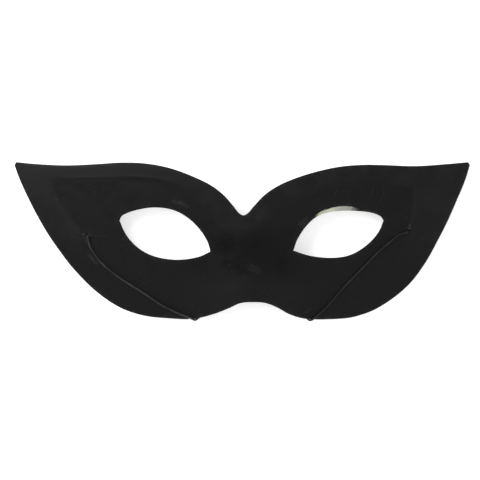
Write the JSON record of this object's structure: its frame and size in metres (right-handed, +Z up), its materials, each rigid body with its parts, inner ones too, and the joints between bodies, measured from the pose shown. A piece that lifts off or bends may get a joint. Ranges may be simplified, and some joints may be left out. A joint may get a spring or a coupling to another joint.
{
  "type": "cat mask",
  "caption": "Black half mask with swept-up corners, almond eye holes and a nose arch, lying face up with its thin round elastic.",
  "frame": {"origin": "on the table, under the middle of the mask's own box, with the mask lying face up on its two tips and its two cheeks", "axes": "+X along the wings, towards the wing on the right as seen from above with the brow up; +Y towards the brow; +Z up, out of the face"},
  "size_m": [0.19, 0.0669, 0.0177],
  "materials": {
    "shell": "thin moulded black plastic, satin, with fine grain and light scuffs",
    "elastic": "braided black round elastic"
  },
  "bodies": {
    "root": {"mask_shell": "shell", "elastic_left": "elastic", "elastic_coil": "elastic", "elastic_right": "elastic", "elastic_tie": "elastic", "elastic_knot_left": "elastic", "elastic_knot_right": "elastic"}
  },
  "joints": []
}
